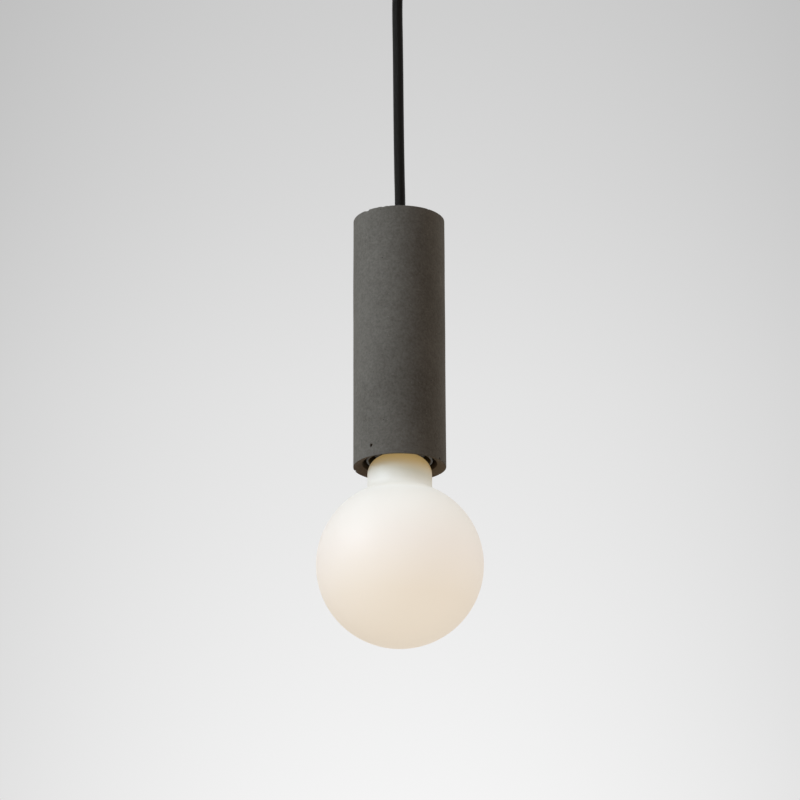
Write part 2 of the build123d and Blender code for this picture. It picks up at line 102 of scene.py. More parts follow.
cord_radius = highest("cord_inside")[0]
pivot = joint("pendant_swing")["pos_m"][2] / MM
cord_top = highest("cord_top")[2]
bush_low, bush_top = span("cord_bush")
bush_radius = highest("cord_bush")[0]
rod_radius = highest("threaded_rod")[0]
rod_bore = 4.0
rod_room = 0.1               # round a threaded rod or spigot, in the holes that it goes through
rod_passage = rod_radius + rod_room

globe_low = lowest("bulb_globe")[2]
globe_radius = highest("bulb_globe")[0]
globe_centre = globe_low + globe_radius
neck_radius = 24.3
neck_fillet = 5.0
shoulder_radius = 14.3
cap_radius = highest("bulb_cap")[0]
cap_rim, cap_top = span("bulb_cap")
cap_sleeve = 20.0            # from the cap's rim to the end of its sleeve
cap_collar = 3.4             # from its rim to the end of its plain collar
cap_step = 4.4               # from its rim to where its threaded stretch starts
cap_wall = 0.4
cap_room = 0.1               # between the glass and the cap
glass_end = 0.4              # the glass closes this far above the cap's rim
tip_radius = 8.0
thread_pitch = record["behaviour"]["couplings"][0]["ratio"] * TURN / MM
thread_depth = 0.45
thread_inset = 0.3           # from the collar's face to the middle of the thread
thread_radius = cap_radius - thread_inset
thread_room = 0.4            # between the cap's thread and the lampholder's

skirt_rim, skirt_top = span("lampholder_skirt")
skirt_radius = highest("lampholder_skirt")[0]
skirt_wall = 2.0
skirt_room = 2.6             # between the skirt and the body
body_bore = skirt_radius + skirt_room
ledge_width = 3.3            # ledge in the skirt that the insert's flange rests on
ledge_height = 2.0
insert_low, insert_top = span("lampholder_insert")
insert_flange = 6.0
insert_room = 3.4            # between the insert and the skirt
insert_radius = skirt_radius - skirt_wall - insert_room
insert_bore = 13.9
well_depth = 13.9            # from the insert's top down to its well
well_radius = 6.5
well_hole = 1.6
dome_radius = highest("lampholder_dome")[0]
dome_wall = 1.5
dome_neck = highest("lampholder_dome")[2]
dome_neck_height = 10.0
dome_neck_radius = 9.0
dome_top = dome_neck - dome_neck_height
shell_low = lowest("screw_shell")[2]
shell_height = 22.0
shell_top = shell_low + shell_height
shell_wall = 0.4

canopy_radius = highest("canopy_cup")[1]
canopy_floor = lowest("canopy_cup")[2]
canopy_wall = 1.0
canopy_edge = 4.0            # rounding of the cup's lower edge
gland_mouth, gland_top = span("gland_body")
gland_flange = highest("gland_body")[0]
gland_flange_height = 5.0
gland_bore = 4.05
gland_thread = 6.25
gland_passage = gland_thread + rod_room
gland_throat = 4.44
gland_throat_height = 1.9
gland_bell = 7.5
gland_lip_width = 1.6
gland_lip = gland_bell + gland_lip_width


# Surfaces

def smooth(low, high, value):
    """Smooth step: 0 below low, 1 above high, and 3t^2 - 2t^3 between them."""
    share = np.clip((value - low) / (high - low), 0, 1)
    return share * share * (3 - 2 * share)


def faded(value, low, high, rise, fall):
    """Share that goes smoothly from 0 at low to 1 over a rise, and back to 0 at high over a fall."""
    return smooth(low, low + rise, value) * (1 - smooth(high - fall, high, value))


def rounded(corners, arc_points=6):
    """Outline through (radius, height, rounding) corners. A rounded corner is an arc that touches both of
    its sides: its centre lies on the bisector at rounding / sin(half angle), and it starts at
    rounding / tan(half angle) from the corner."""
    spots = np.array([corner[:2] for corner in corners], dtype=float)
    outline = []
    for number, corner in enumerate(corners):
        spot = spots[number]
        rounding = corner[2]
        if rounding == 0:
            outline.append(spot[None, :])
            continue
        back = spots[number - 1] - spot
        onward = spots[(number + 1) % len(spots)] - spot
        back /= np.linalg.norm(back)
        onward /= np.linalg.norm(onward)
        half = math.acos(np.clip(back @ onward, -1, 1)) / 2
        bisector = (back + onward) / np.linalg.norm(back + onward)
        centre = spot + bisector * rounding / math.sin(half)
        start = spot + back * rounding / math.tan(half) - centre
        end = spot + onward * rounding / math.tan(half) - centre
        sweep = math.pi - 2 * half
        share = np.linspace(0, 1, arc_points)[:, None]
        bend = (start * np.sin((1 - share) * sweep) + end * np.sin(share * sweep)) / math.sin(sweep)
        outline.append(centre + bend)
    return np.concatenate(outline)


def arc(centre, radius, start, end, count):
    """Arc of an outline: centre + radius * (sin t, cos t), where t goes from start to end. A pair of radii,
    across and up, gives an ellipse."""
    t = np.linspace(start, end, count)
    return np.asarray(centre) + np.asarray(radius) * np.stack([np.sin(t), np.cos(t)], axis=-1)


def divided(outline, step, closed=True):
    """The same outline with points added on each run that is longer than the step. The step is one length
    for all runs, or one for each."""
    starts = outline if closed else outline[:-1]
    ends = np.roll(outline, -1, axis=0) if closed else outline[1:]
    counts = np.maximum(1, np.ceil(np.linalg.norm(ends - starts, axis=1) / step)).astype(int)
    fine = [start + (end - start) * np.linspace(0, 1, count, endpoint=False)[:, None]
            for start, end, count in zip(starts, ends, counts)]
    if not closed:
        fine.append(outline[-1:])
    return np.concatenate(fine)


def run_middles(outline):
    """Middle of each run of a closed outline."""
    return (outline + np.roll(outline, -1, axis=0)) / 2


def even_angles(columns):
    """Angles of equal steps round the axis."""
    return np.arange(columns) * TURN / columns


def about_axis(radius, angle, height):
    """Points at a radius r, an angle a and a height: x = r cos a, y = r sin a, z = height."""
    return np.stack(np.broadcast_arrays(radius * np.cos(angle), radius * np.sin(angle), height), axis=-1)


def turned(outline, angle):
    """Surface of revolution of an outline, with a row for each of its points and a column for each angle."""
    return about_axis(outline[:, 0, None], angle, outline[:, 1, None])


def lathed(corners, step, columns, arc_points):
    """Turned surface of a closed outline of rounded corners."""
    return turned(divided(rounded(corners, arc_points), step), even_angles(columns))


def from_axis(grid):
    """Distance of each point of a grid from the Z axis."""
    return np.linalg.norm(grid[..., :2], axis=-1)


def bearing(grid):
    """Angle of each point of a grid round the Z axis."""
    return np.arctan2(grid[..., 1], grid[..., 0])


def pushed(grid, amount):
    """Moves each point of a grid away from the Z axis by an amount."""
    radius = np.maximum(from_axis(grid), NOTHING)
    moved = grid.copy()
    moved[..., 0] += grid[..., 0] / radius * amount
    moved[..., 1] += grid[..., 1] / radius * amount
    return moved


def threaded(grid, depth, pitch, share):
    """Gives a surface a right-hand thread: share * depth * cos(2 pi z / pitch - a) is added to the radius of
    each point, where a is its angle round the Z axis."""
    wave = np.cos(TURN * grid[..., 2] / pitch - bearing(grid))
    return pushed(grid, depth * share * wave)


def scooped(grid, centre, radius):
    """Carves a ball out of a surface: each point inside the ball moves out to its face, away from its
    centre."""
    offset = grid - np.asarray(centre)
    distance = np.maximum(np.linalg.norm(offset, axis=-1, keepdims=True), NOTHING)
    return np.where(distance < radius, centre + offset * radius / distance, grid)


def pitted(grid, spot, outward, width, depth):
    """Sinks a round pit into a surface: a point at distance d from the pit's axis goes in by
    depth * (1 - (2 d / width)^4), where it lies within the pit."""
    outward = np.asarray(outward) / np.linalg.norm(outward)
    offset = grid - np.asarray(spot)
    along = offset @ outward
    aside = np.linalg.norm(offset - along[..., None] * outward, axis=-1)
    sink = depth * np.clip(1 - (2 * aside / width)**4, 0, 1) * (np.abs(along) < 2 * width)
    return grid - sink[..., None] * outward


def facing(grid, spot, direction):
    """Turns a grid made on the Z axis to a direction, by the smallest turn, and moves its origin to a
    spot."""
    turn = Vector((0, 0, 1)).rotation_difference(Vector(direction)).to_matrix()
    return grid @ np.array(turn).T + np.asarray(spot, dtype=float)


def skin(name, *grids, sharp=35.0):
    """One mesh from grids of points in millimetres. Each wraps round its columns. Its rows run from pole to
    pole, or close into a ring. The faces point out of the volume that a grid encloses."""
    points = []
    faces = []
    first = 0
    for grid in grids:
        rows, columns = grid.shape[:2]
        poles = all(np.ptp(row, axis=0).max() < NOTHING for row in (grid[0], grid[-1]))
        index = np.arange(rows * columns).reshape(rows, columns)
        index = np.hstack([index, index[:, :1]])
        if not poles:
            index = np.vstack([index, index[:1]])
        quads = np.stack([index[:-1, :-1], index[:-1, 1:], index[1:, 1:], index[1:, :-1]], axis=-1)
        quads = quads.reshape(-1, 4)
        flat = grid.reshape(-1, 3)
        a, b, c, d = (flat[quads[:, corner]] - flat.mean(axis=0) for corner in range(4))
        volume = np.sum(a * np.cross(b, c)) + np.sum(a * np.cross(c, d))
        faces.append((quads if volume > 0 else quads[:, ::-1]) + first)
        points.append(flat)
        first += len(flat)
    mesh = bpy.data.meshes.new(name)
    mesh.from_pydata((np.concatenate(points) * MM).tolist(), [], np.concatenate(faces).tolist())
    return finished_mesh(name, mesh, sharp)


def welded(mesh, reach, flat=None):
    """Merges the points of a mesh that lie within a reach, and joins faces that lie flat to within an angle
    where one is given."""
    work = bmesh.new()
    work.from_mesh(mesh)
    bmesh.ops.remove_doubles(work, verts=work.verts, dist=reach * MM)
    if flat is not None:
        limit = math.radians(flat)
        bmesh.ops.dissolve_limit(work, angle_limit=limit, verts=work.verts, edges=work.edges)
    work.to_mesh(mesh)
    work.free()


def finished_mesh(name, mesh, sharp):
    """Merges the points that meet at poles, marks edges sharper than an angle, and makes the piece."""
    welded(mesh, reach=0.0001)
    mesh.shade_smooth()
    mesh.set_sharp_from_angle(angle=math.radians(sharp))
    piece = bpy.data.objects.new(name, mesh)
    scene.collection.objects.link(piece)
    return piece


# Slot and body of each solid, from the record
slot_of = {row["node"]: row["material_slot"] for row in record["subparts"]}
body_of = {node: body for body, names in record["behaviour"]["bodies"].items() for node in names}


def place(piece, node):
    """Puts a piece on the body of the solid that it stands for, with that solid's finish."""
    piece.data.materials.clear()
    piece.data.materials.append(finishes[slot_of[node]])
    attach(piece, body_of[node])
    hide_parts(node)


def turned_piece(name, node, corners, step, columns, arc_points=6):
    """Turned surface of a closed outline of rounded corners, put in the place of a solid."""
    place(skin(name, lathed(corners, step, columns, arc_points)), node)


# Finishes

class Wiring:
    """Short calls that add nodes to a node tree."""

    def __init__(self, tree):
        self.tree = tree

    def node(self, kind, settings=(), **inputs):
        """Adds a node. An input that is a socket is linked, and any other is set."""
        made = self.tree.nodes.new(kind)
        for key, value in dict(settings).items():
            setattr(made, key, value)
        for key, value in inputs.items():
            socket = made.inputs[int(key[1:])] if key[0] == "_" else made.inputs[key]
            if isinstance(value, bpy.types.NodeSocket):
                self.tree.links.new(value, socket)
            else:
                socket.default_value = value
        return made

    def spread(self, value, low, high, new_low=0.0, new_high=1.0):
        """Maps a range of values to another range, held at its ends."""
        made = self.node("ShaderNodeMapRange", _0=value, _1=low, _2=high, _3=new_low, _4=new_high)
        return made.outputs[0]

    def maths(self, operation, a, b=0.0):
        """One sum on two values."""
        return self.node("ShaderNodeMath", {"operation": operation}, _0=a, _1=b).outputs[0]

    def shared(self, a, a_share, b, b_share):
        """Sum of two values, each times its share."""
        return self.maths("ADD", self.maths("MULTIPLY", a, a_share), self.maths("MULTIPLY", b, b_share))

    def vector(self, operation, a, b=(0, 0, 0)):
        """One sum on two vectors."""
        return self.node("ShaderNodeVectorMath", {"operation": operation}, _0=a, _1=b).outputs

    def parts(self, vector):
        """The three parts of a vector, along X, Y and Z."""
        return self.node("ShaderNodeSeparateXYZ", Vector=vector).outputs

    def in_sight(self):
        """1 for the camera, glossy and transmission rays that see the surroundings, and 0 for the rest."""
        path = self.node("ShaderNodeLightPath").outputs
        direct = self.maths("MAXIMUM", path["Is Camera Ray"], path["Is Transmission Ray"])
        return self.maths("MAXIMUM", direct, path["Is Glossy Ray"])

    def ramp(self, value, *stops):
        """Colour by value, from (value, colour) stops."""
        made = self.node("ShaderNodeValToRGB", Fac=value)
        band = made.color_ramp
        while len(band.elements) < len(stops):
            band.elements.new(0.5)
        for element, (position, colour) in zip(band.elements, stops):
            element.position = position
            element.color = (*colour, 1)
        return made.outputs["Color"]

    def mix(self, share, a, b, blend="MIX"):
        """Mixes two colours."""
        a, b = ((*colour, 1) if isinstance(colour, tuple) else colour for colour in (a, b))
        made = self.node("ShaderNodeMix", {"data_type": "RGBA", "blend_type": blend}, _0=share, _6=a, _7=b)
        return made.outputs[2]


class Finish(Wiring):
    """A material and the nodes that feed its shader."""

    def __init__(self, name, colour, roughness, metallic=0.0, **sockets):
        self.material = bpy.data.materials.new(name)
        self.material.use_nodes = True
        super().__init__(self.material.node_tree)
        self.surface = self.tree.nodes["Principled BSDF"]
        self.surface.inputs["Base Color"].default_value = (*colour, 1)
        self.surface.inputs["Roughness"].default_value = roughness
        self.surface.inputs["Metallic"].default_value = metallic
        for socket, value in sockets.items():
            title = socket.replace("_", " ").title().replace("Ior", "IOR")
            self.surface.inputs[title].default_value = value
        self.object_place = self.node("ShaderNodeTexCoord").outputs["Object"]

    def stretched(self, scale):
        """Object place, scaled along each axis."""
        return self.node("ShaderNodeMapping", Vector=self.object_place, Scale=scale).outputs[0]

    def noise(self, size, detail=2.0, roughness=0.5, vector=None):
        """Cloudy noise whose features are about a size in millimetres."""
        source = vector or self.object_place
        return self.node("ShaderNodeTexNoise", Vector=source, Scale=1 / (size * MM), Detail=detail,
                         Roughness=roughness).outputs["Fac"]

    def cells(self, size):
        """Scattered points about a size apart, in millimetres: the distance to the nearest, as a share of
        that size, and its own colour."""
        cell = self.node("ShaderNodeTexVoronoi", Vector=self.object_place, Scale=1 / (size * MM))
        return cell.outputs["Distance"], cell.outputs["Color"]

    def dots(self, size, rarity, inner, outer):
        """Round dots on the scattered points whose colour is above a rarity: 1 within the inner distance of
        the point, 0 beyond the outer."""
        near, own = self.cells(size)
        chosen = self.maths("GREATER_THAN", own, rarity)
        return self.maths("MULTIPLY", self.spread(near, inner, outer, 1.0, 0.0), chosen)

    def attribute(self, name):
        """Value that the mesh carries at each point."""
        return self.node("ShaderNodeAttribute", {"attribute_name": name}).outputs["Fac"]

    def use(self, socket, value):
        """Feeds one socket of the shader."""
        self.tree.links.new(value, self.surface.inputs[socket])

    def bump(self, height, depth, strength=1.0):
        """Adds relief of a depth in millimetres over the relief that is there."""
        made = self.node("ShaderNodeBump", Height=height, Distance=depth * MM, Strength=strength)
        if self.surface.inputs["Normal"].is_linked:
            self.tree.links.new(self.surface.inputs["Normal"].links[0].from_socket, made.inputs["Normal"])
        self.use("Normal", made.outputs[0])


def grey(level):
    """Neutral colour."""
    return (level, level, level)


def toned(colour, factor):
    """A colour times a factor, no brighter than 1."""
    return tuple(min(1.0, factor * part) for part in colour)


def concrete_finish():
    """Cast concrete: clouds, blotches and a fine sandy grain, pale sand specks and small air holes, painted near
    black as painted shade inside them. Its lower face is painted darker and browner, most of all on the left,
    as painted shade, and its bore is painted darker, as painted shade."""
    finish = Finish("cast_concrete", (0.14, 0.12, 0.098), 0.9, specular_ior_level=0.15)
    clouds = finish.noise(42.0, detail=3.0, roughness=0.55)
    blotches = finish.noise(5.0)
    grain = finish.noise(1.8, detail=3.0, roughness=0.65)
    sand = finish.noise(0.5, detail=1.0)
    tone = finish.maths("ADD", finish.shared(clouds, 0.5, blotches, 0.3), grain)
    tone = finish.maths("SUBTRACT", tone, 0.4)
    colour = finish.ramp(tone, (0.2, (0.0995, 0.084, 0.067)), (0.5, (0.14, 0.12, 0.098)),
                         (0.8, (0.1805, 0.156, 0.129)))
    speck = finish.dots(size=2.6, rarity=0.8, inner=0.1, outer=0.16)
    colour = finish.mix(finish.maths("MULTIPLY", speck, 0.5), colour, (0.3, 0.26, 0.215))
    # Small air holes are painted near black: painted shade inside the holes, which the bump only dents.
    hole = finish.dots(size=8.0, rarity=0.78, inner=0.035, outer=0.06)
    colour = finish.mix(finish.maths("MULTIPLY", hole, 0.8), colour, (0.02, 0.018, 0.015))
    # Painted shade: faces that point down are darkened and browned, most of all on the left (X < 0).
    outward = finish.node("ShaderNodeTexCoord").outputs["Normal"]
    under = finish.spread(finish.parts(outward)["Z"], -0.4, -0.8)
    where = finish.parts(finish.object_place)
    stain_and_painted_shade = finish.mix(finish.spread(where["X"], -0.03, 0.03), (0.55, 0.44, 0.35), (0.8, 0.7, 0.575))
    colour = finish.mix(under, colour, finish.mix(1.0, colour, stain_and_painted_shade, "MULTIPLY"))
    # Painted shade: the bore's wall, below the roof, is darkened.
    level = finish.vector("MULTIPLY", finish.object_place, (1, 1, 0))["Vector"]
    reach = finish.vector("LENGTH", level)["Value"]
    inside = finish.spread(reach, (body_bore + 0.7) * MM, (body_bore + 0.2) * MM)
    below_roof = finish.maths("LESS_THAN", where["Z"], (roof_under + 1) * MM)
    inside = finish.maths("MULTIPLY", inside, below_roof)
    colour = finish.mix(inside, colour, finish.mix(1.0, colour, (0.3, 0.25, 0.2), "MULTIPLY"))
    finish.use("Base Color", colour)
    finish.use("Roughness", finish.spread(grain, 0.3, 0.7, 0.84, 0.96))
    finish.bump(sand, depth=0.12, strength=0.7)
    finish.bump(grain, depth=0.3, strength=0.5)
    finish.bump(finish.maths("SUBTRACT", 1.0, hole), depth=0.5)
    return finish.material


def textile_finish():
    """Black braided textile: a soft gloss on the crowns of the yarns, a colour painted darker between them as
    painted shade, and fine fibres, seven across a yarn."""
    finish = Finish("black_textile", (0.005, 0.0044, 0.0038), 0.35, specular_ior_level=0.13,
                    specular_tint=(1.0, 0.86, 0.74, 1))
    fibre = finish.maths("SINE", finish.maths("MULTIPLY", finish.attribute("across"), TURN * 7))
    tone = finish.maths("ADD", finish.attribute("crown"), finish.maths("MULTIPLY", fibre, 0.1))
    tone = finish.maths("ADD", tone, finish.spread(finish.noise(1.2), 0.3, 0.7, -0.15, 0.15))
    # Painted shade: the base colour darkens from the yarns' crowns into the valleys between them.
    finish.use("Base Color", finish.ramp(tone, (0.1, (0.001, 0.0009, 0.0008)),
                                         (0.6, (0.004, 0.0035, 0.0031)), (1.0, (0.007, 0.0061, 0.0054))))
    finish.use("Roughness", finish.spread(tone, 0.2, 1.0, 0.45, 0.27))
    finish.bump(fibre, depth=0.05, strength=0.6)
    return finish.material


# Glow of the opal glass, by height from the globe's lowest point at 0 to the cap's rim at 1. The glow is the
# dimmed lamp's own light, with painted light and shade in its changes by height: it fades and browns
# towards the cap as painted shade of the body over the neck, and the brighter stop at 0.772, where the neck
# meets the globe, is painted light.
opal_glow_and_painted_shade = ((0.0, (0.92, 0.82, 0.68)), (0.2, (0.88, 0.78, 0.65)), (0.45, (0.865, 0.797, 0.725)),
             (0.73, (0.86, 0.855, 0.813)), (0.772, (0.88, 0.9, 0.87)), (0.79, (0.81, 0.82, 0.77)),
             (0.81, (0.745, 0.75, 0.695)), (0.83, (0.635, 0.62, 0.555)), (0.846, (0.53, 0.51, 0.44)),
             (0.89, (0.4, 0.367, 0.27)), (0.93, (0.415, 0.315, 0.157)), (0.955, (0.43, 0.3, 0.117)))


def opal_finish():
    """Opal glass that is lit from inside, dimmed: light scatters deep in it and the globe glows warm white. Its
    neck glows less and browner towards the cap, a little lower on its right: painted shade of the body over
    the neck, laid into the glow."""
    finish = Finish("opal_glass", (0.3, 0.3, 0.3), 0.5, specular_ior_level=0.2, subsurface_weight=1.0,
                    subsurface_radius=(1.0, 1.0, 1.0), subsurface_scale=0.02, coat_weight=1.0,
                    coat_roughness=0.5, coat_ior=1.1, coat_tint=(0.87, 0.855, 0.84, 1),
                    emission_strength=1.0)
    where = finish.parts(finish.object_place)
    share = finish.spread(where["Z"], globe_low * MM, cap_rim * MM)
    # Painted shade: the glow's fade towards the cap starts lower on the right (X > 0).
    aside = finish.maths("MULTIPLY", where["X"], 0.8)
    lean = finish.maths("MULTIPLY", finish.spread(share, 0.82, 0.87), aside)
    share = finish.maths("ADD", share, lean)
    finish.use("Base Color", finish.ramp(share, (0.76, grey(0.29)), (0.84, grey(0.46))))
    finish.use("Emission Color", finish.ramp(share, *opal_glow_and_painted_shade))
    return finish.material


def painted_finish(name, colour, roughness, peel):
    """Sprayed paint or powder coat: a fine orange peel, and a gloss that varies a little."""
    finish = Finish(name, colour, roughness, specular_ior_level=0.45)
    orange_peel = finish.noise(peel)
    wide = finish.noise(18.0)
    tone = finish.shared(wide, 0.6, orange_peel, 0.4)
    finish.use("Base Color", finish.ramp(tone, (0.3, toned(colour, 0.8)), (0.7, toned(colour, 1.25))))
    finish.use("Roughness", finish.spread(wide, 0.3, 0.7, roughness - 0.06, roughness + 0.06))
    finish.bump(orange_peel, depth=0.05, strength=0.6)
    return finish.material


def metal_finish(name, colour, roughness, streaks):
    """Bare or plated metal: drawn streaks along Z or X, faint stains, and a roughness that follows the
    streaks."""
    finish = Finish(name, colour, roughness, 1.0)
    lines = finish.noise(0.6, detail=3.0, roughness=0.6, vector=finish.stretched(streaks))
    stain_and_painted_shade = finish.noise(9.0, detail=3.0)
    tone = finish.shared(lines, 0.35, stain_and_painted_shade, 0.65)
    finish.use("Base Color", finish.ramp(tone, (0.28, toned(colour, 0.78)), (0.62, toned(colour, 1.08))))
    finish.use("Roughness", finish.spread(lines, 0.3, 0.7, roughness - 0.08, roughness + 0.1))
    finish.bump(lines, depth=0.008, strength=0.3)
    return finish.material


def moulded_finish(name, colour, roughness, grain):
    """Moulded plastic, rubber or black glass: a faint grain and slight clouding."""
    finish = Finish(name, colour, roughness, specular_ior_level=0.4)
    fine = finish.noise(grain)
    wide = finish.noise(12.0)
    finish.use("Base Color", finish.ramp(wide, (0.3, toned(colour, 0.88)), (0.7, toned(colour, 1.1))))
    finish.use("Roughness", finish.spread(fine, 0.3, 0.7, roughness - 0.05, roughness + 0.08))
    finish.bump(fine, depth=0.03, strength=0.5)
    return finish.material


def earth_core_finish():
    """Green insulation with slanting yellow stripes."""
    finish = Finish("core_green_yellow", (0.05, 0.22, 0.05), 0.4)
    wave = finish.node("ShaderNodeTexWave", {"bands_direction": "DIAGONAL"}, Vector=finish.object_place,
                       Scale=70.0, Distortion=0.4).outputs["Fac"]
    finish.use("Base Color", finish.ramp(wave, (0.5, (0.03, 0.2, 0.05)), (0.56, (0.75, 0.6, 0.04))))
    finish.bump(finish.noise(0.8), depth=0.02, strength=0.4)
    return finish.material


def lit_strip_finish():
    """Yellow phosphor on the light strips, with its fine grain."""
    finish = Finish("led_phosphor", (0.85, 0.6, 0.12), 0.5)
    grain = finish.noise(0.5)
    finish.use("Base Color", finish.ramp(grain, (0.3, (0.72, 0.48, 0.08)), (0.7, (0.9, 0.68, 0.18))))
    return finish.material


def clear_glass_finish():
    """Clear glass, with a slight waviness."""
    finish = Finish("clear_glass", (0.95, 0.97, 0.95), 0.04, transmission_weight=1.0, ior=1.5)
    finish.bump(finish.noise(6.0), depth=0.05, strength=0.4)
    return finish.material


def board_finish():
    """Green solder resist, with darker tracks under it."""
    finish = Finish("circuit_board", (0.02, 0.12, 0.05), 0.35)
    near = finish.cells(2.2)[0]
    finish.use("Base Color", finish.ramp(near, (0.3, (0.02, 0.13, 0.05)), (0.5, (0.01, 0.08, 0.03))))
    finish.bump(near, depth=0.05, strength=0.5)
    return finish.material


finishes = {
    "cast_concrete": concrete_finish(),
    "black_textile": textile_finish(),
    "opal_glass": opal_finish(),
    "clear_glass": clear_glass_finish(),
    "black_paint": painted_finish("black_paint", (0.016, 0.016, 0.016), 0.42, 0.9),
    "dark_paint": painted_finish("dark_paint", (0.04, 0.035, 0.028), 0.45, 1.2),
    "zinc_steel": metal_finish("zinc_steel", (0.55, 0.55, 0.53), 0.36, (0.05, 1, 1)),
    "brass": metal_finish("brass", (0.72, 0.52, 0.22), 0.3, (1, 1, 0.1)),
    "nickel_cap": metal_finish("nickel_cap", (0.68, 0.66, 0.62), 0.26, (1, 1, 0.15)),
    "black_plastic": moulded_finish("black_plastic", (0.018, 0.018, 0.018), 0.45, 0.7),
    "phenolic": moulded_finish("phenolic", (0.012, 0.011, 0.010), 0.4, 0.9),
    "white_plastic": moulded_finish("white_plastic", (0.75, 0.74, 0.7), 0.42, 0.9),
    "black_glass": moulded_finish("black_glass", (0.012, 0.012, 0.014), 0.12, 2.5),
    "black_rubber": moulded_finish("black_rubber", (0.015, 0.015, 0.015), 0.8, 0.6),
    "core_brown": moulded_finish("core_brown", (0.12, 0.05, 0.02), 0.42, 0.8),
    "core_blue": moulded_finish("core_blue", (0.02, 0.1, 0.4), 0.42, 0.8),
    "core_green_yellow": earth_core_finish(),
    "led_phosphor": lit_strip_finish(),
    "circuit_board": board_finish(),
}

# Each solid gets its finish, for those that no finer piece replaces
for node, slot in slot_of.items():
    solid = nodes[node].data
    solid.materials.clear()
    solid.materials.append(finishes[slot])


# Cord

def cord_line(route):
    """Centreline of the cord: points read from a NURBS spline of order 3 that has the route as its control
    points."""
    curve = bpy.data.curves.new("cord_route", "CURVE")
    curve.dimensions = "3D"
    curve.resolution_u = 40
    spline = curve.splines.new("NURBS")
    spline.points.add(len(route) - 1)
    for point, spot in zip(spline.points, route):
        point.co = (spot[0] * MM, spot[1] * MM, spot[2] * MM, 1)
    spline.order_u = 3
    spline.use_endpoint_u = True
    holder = bpy.data.objects.new("cord_route", curve)
    scene.collection.objects.link(holder)
    bpy.context.view_layer.update()
    evaluated = holder.evaluated_get(bpy.context.evaluated_depsgraph_get())
    mesh = bpy.data.meshes.new_from_object(evaluated)
    line = np.zeros(len(mesh.vertices) * 3)
    mesh.vertices.foreach_get("co", line)
    bpy.data.objects.remove(holder)
    bpy.data.curves.remove(curve)
    bpy.data.meshes.remove(mesh)
    return line.reshape(-1, 3) / MM


yarn_count = 12              # yarns in each direction round the cord
yarn_advance = 2.3           # along the cord from one yarn to the next
yarn_round = 0.13            # how far a yarn's crown stands above its edges
yarn_crimp = 0.09            # how far a yarn rises over and dips under the others
crown_swell = 0.4            # crowns of the hanging cord stand this far proud of its nominal size


def braid(angle, along):
    """Braid of two sets of yarns that wind opposite ways, each over one and under the next. With u and v the
    positions across the two sets, a yarn's height is round * cos(pi * off) + crimp * cos(pi * crossing),
    where off is the distance from its centre. The higher of the two sets shows. Returns its height and the
    position across it."""
    turn = yarn_count * angle / TURN
    u = turn + along / yarn_advance
    v = turn - along / yarn_advance
    off_u = u - np.round(u)
    off_v = v - np.round(v)
    rise_u = yarn_round * np.cos(math.pi * off_u) + yarn_crimp * np.cos(math.pi * (np.round(u) + v))
    rise_v = yarn_round * np.cos(math.pi * off_v) - yarn_crimp * np.cos(math.pi * (np.round(v) + u))
    return np.maximum(rise_u, rise_v), np.where(rise_u > rise_v, off_u, off_v)


def along_line(line):
    """Length of a line from its first point to each of its points."""
    return np.concatenate([[0], np.cumsum(np.linalg.norm(np.diff(line, axis=0), axis=1))])


def braided(line, columns, step, swell):
    """Grid of a braided cord round a line that runs nearly along Z, from its upper end to its lower end,
    with the braid's height and position across as two more values at each point. Its ends close to a
    point."""
    along = along_line(line)
    places = np.linspace(0, along[-1], int(along[-1] / step) + 1)
    centre = np.stack([np.interp(places, along, line[:, axis]) for axis in range(3)], axis=-1)
    angle = even_angles(columns)
    rise, across = braid(angle[None, :], places[:, None])
    radius = cord_radius + swell - yarn_round - yarn_crimp + rise
    grid = centre[:, None, :] + about_axis(radius, angle, 0.0)
    first = np.repeat(grid[:1].mean(axis=1, keepdims=True), columns, axis=1)
    last = np.repeat(grid[-1:].mean(axis=1, keepdims=True), columns, axis=1)
    crown = (rise / (yarn_round + yarn_crimp)).clip(0, 1)
    values = np.pad(np.stack([crown, across], axis=-1), ((1, 1), (0, 0), (0, 0)), "edge")
    return np.concatenate([first, grid, last]), values


def cord_piece(name, line, columns, step, swell):
    """Braided cord as a mesh, with the attributes that its finish reads."""
    grid, values = braided(line, columns, step, swell)
    piece = skin(name, grid, sharp=180.0)
    at_points = np.concatenate([values[0, :1], values[1:-1].reshape(-1, 2), values[-1, :1]])
    for column, attribute in enumerate(("crown", "across")):
        layer = piece.data.attributes.new(attribute, "FLOAT", "POINT")
        layer.data.foreach_set("value", at_points[:, column].astype(np.float32))
    return piece


# The cord leaves the gland a little left of the axis and reaches the body a little right of it
cord_route = [(0, 0, cord_top), (0, 0, pivot - 4), (-1.0, 0, pivot - 22), (-0.4, 0, -110), (-0.1, 0, -165),
              (0.45, 0, -215), (1.0, 0, bush_top + 14), (0.9, 0, bush_top)]
line = cord_line(cord_route)
hanging = cord_piece("hanging_cord", line, columns=96, step=0.28, swell=crown_swell)
hanging.data.materials.append(finishes["black_textile"])
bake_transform(hanging)
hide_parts("cord", "cord_top")


def cord_end(name, node):
    """Straight end of the cord inside a fitting."""
    low, high = span(node)
    ends = np.array([(0, 0, high), (0, 0, low)])
    place(cord_piece(name, ends, columns=72, step=0.4, swell=0.0), node)


cord_end("cord_end_in_canopy", "cord_in_canopy")
cord_end("cord_end_in_rod", "cord_inside")


# Concrete body

def outward_at(angle):
    """Level direction away from the axis, at an angle in degrees: (cos a, sin a, 0)."""
    turn = math.radians(angle)
    return np.array([math.cos(turn), math.sin(turn), 0])


